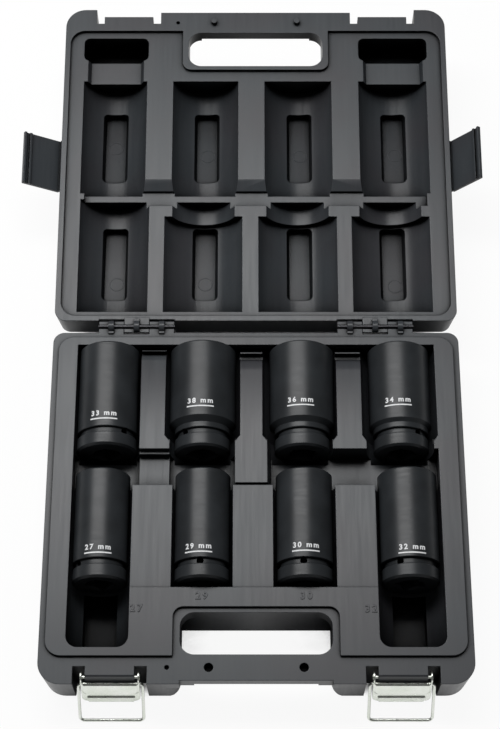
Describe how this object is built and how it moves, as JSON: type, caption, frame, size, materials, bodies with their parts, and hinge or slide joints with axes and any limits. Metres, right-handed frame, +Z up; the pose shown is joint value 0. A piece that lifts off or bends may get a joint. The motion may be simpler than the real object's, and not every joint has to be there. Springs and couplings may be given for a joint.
{
  "type": "deep impact socket set in a carry case",
  "caption": "Blow-moulded carry case laid open, with deep square-drive impact sockets lying in its tray, draw latches, side clips, pin hinges and a through handle.",
  "frame": {"origin": "centre of the base's underside, on the surface that the case lies on", "axes": "+X to the right across the case, +Y from the handle to the hinge and on over the open lid, +Z up"},
  "size_m": [0.3846, 0.6151, 0.0826],
  "materials": {
    "case_plastic": "satin black polyethylene, finely streaked from the mould",
    "socket_steel": "matte black phosphate on forged steel",
    "pin_steel": "bright drawn wire",
    "zinc_steel": "bright zinc plate with a faint yellow tint"
  },
  "bodies": {
    "base": {"base_tray": "case_plastic", "hinge_pin_left": "pin_steel", "hinge_pin_right": "pin_steel", "latch_pin_left": "zinc_steel", "latch_pin_right": "zinc_steel"},
    "lid": {"lid_shell": "case_plastic"},
    "lever_left": {"latch_lever_left": "zinc_steel"},
    "bail_left": {"latch_bail_left": "zinc_steel"},
    "clip_left": {"side_clip_left": "case_plastic"},
    "lever_right": {"latch_lever_right": "zinc_steel"},
    "bail_right": {"latch_bail_right": "zinc_steel"},
    "clip_right": {"side_clip_right": "case_plastic"},
    "socket_33": {"socket_33": "socket_steel"},
    "socket_38": {"socket_38": "socket_steel"},
    "socket_36": {"socket_36": "socket_steel"},
    "socket_34": {"socket_34": "socket_steel"},
    "socket_27": {"socket_27": "socket_steel"},
    "socket_29": {"socket_29": "socket_steel"},
    "socket_30": {"socket_30": "socket_steel"},
    "socket_32": {"socket_32": "socket_steel"}
  },
  "joints": [
    {"name": "lid_hinge", "type": "hinge", "parent": "base", "child": "lid", "pos_m": [0, 0.1511, 0.046], "axis": [-1, 0, 0], "range_deg": [-175.5, 0]},
    {"name": "lever_left", "type": "hinge", "parent": "base", "child": "lever_left", "pos_m": [-0.1105, -0.1412, 0.0403], "axis": [-1, 0, 0], "range_deg": [-16, 95]},
    {"name": "bail_left", "type": "hinge", "parent": "lever_left", "child": "bail_left", "pos_m": [-0.1105, -0.14412, 0.03229], "axis": [1, 0, 0], "range_deg": [-171.37, 40]},
    {"name": "clip_left", "type": "hinge", "parent": "lid", "child": "clip_left", "pos_m": [-0.1638, 0.30012, 0.05281], "axis": [0, -0.9969, -0.0785], "range_deg": [-58, 42]},
    {"name": "lever_right", "type": "hinge", "parent": "base", "child": "lever_right", "pos_m": [0.1105, -0.1412, 0.0403], "axis": [-1, 0, 0], "range_deg": [-16, 95]},
    {"name": "bail_right", "type": "hinge", "parent": "lever_right", "child": "bail_right", "pos_m": [0.1105, -0.14412, 0.03229], "axis": [1, 0, 0], "range_deg": [-171.37, 40]},
    {"name": "clip_right", "type": "hinge", "parent": "lid", "child": "clip_right", "pos_m": [0.1638, 0.30012, 0.05281], "axis": [0, 0.9969, 0.0785], "range_deg": [-38.5, 61.5]},
    {"name": "socket_33_lift", "type": "slide", "parent": "base", "child": "socket_33", "axis": [0, 0, 1], "range_m": [0, 0.09]},
    {"name": "socket_38_lift", "type": "slide", "parent": "base", "child": "socket_38", "axis": [0, 0, 1], "range_m": [0, 0.09]},
    {"name": "socket_36_lift", "type": "slide", "parent": "base", "child": "socket_36", "axis": [0, 0, 1], "range_m": [0, 0.09]},
    {"name": "socket_34_lift", "type": "slide", "parent": "base", "child": "socket_34", "axis": [0, 0, 1], "range_m": [0, 0.09]},
    {"name": "socket_27_lift", "type": "slide", "parent": "base", "child": "socket_27", "axis": [0, 0, 1], "range_m": [0, 0.09]},
    {"name": "socket_29_lift", "type": "slide", "parent": "base", "child": "socket_29", "axis": [0, 0, 1], "range_m": [0, 0.09]},
    {"name": "socket_30_lift", "type": "slide", "parent": "base", "child": "socket_30", "axis": [0, 0, 1], "range_m": [0, 0.09]},
    {"name": "socket_32_lift", "type": "slide", "parent": "base", "child": "socket_32", "axis": [0, 0, 1], "range_m": [0, 0.09]}
  ]
}
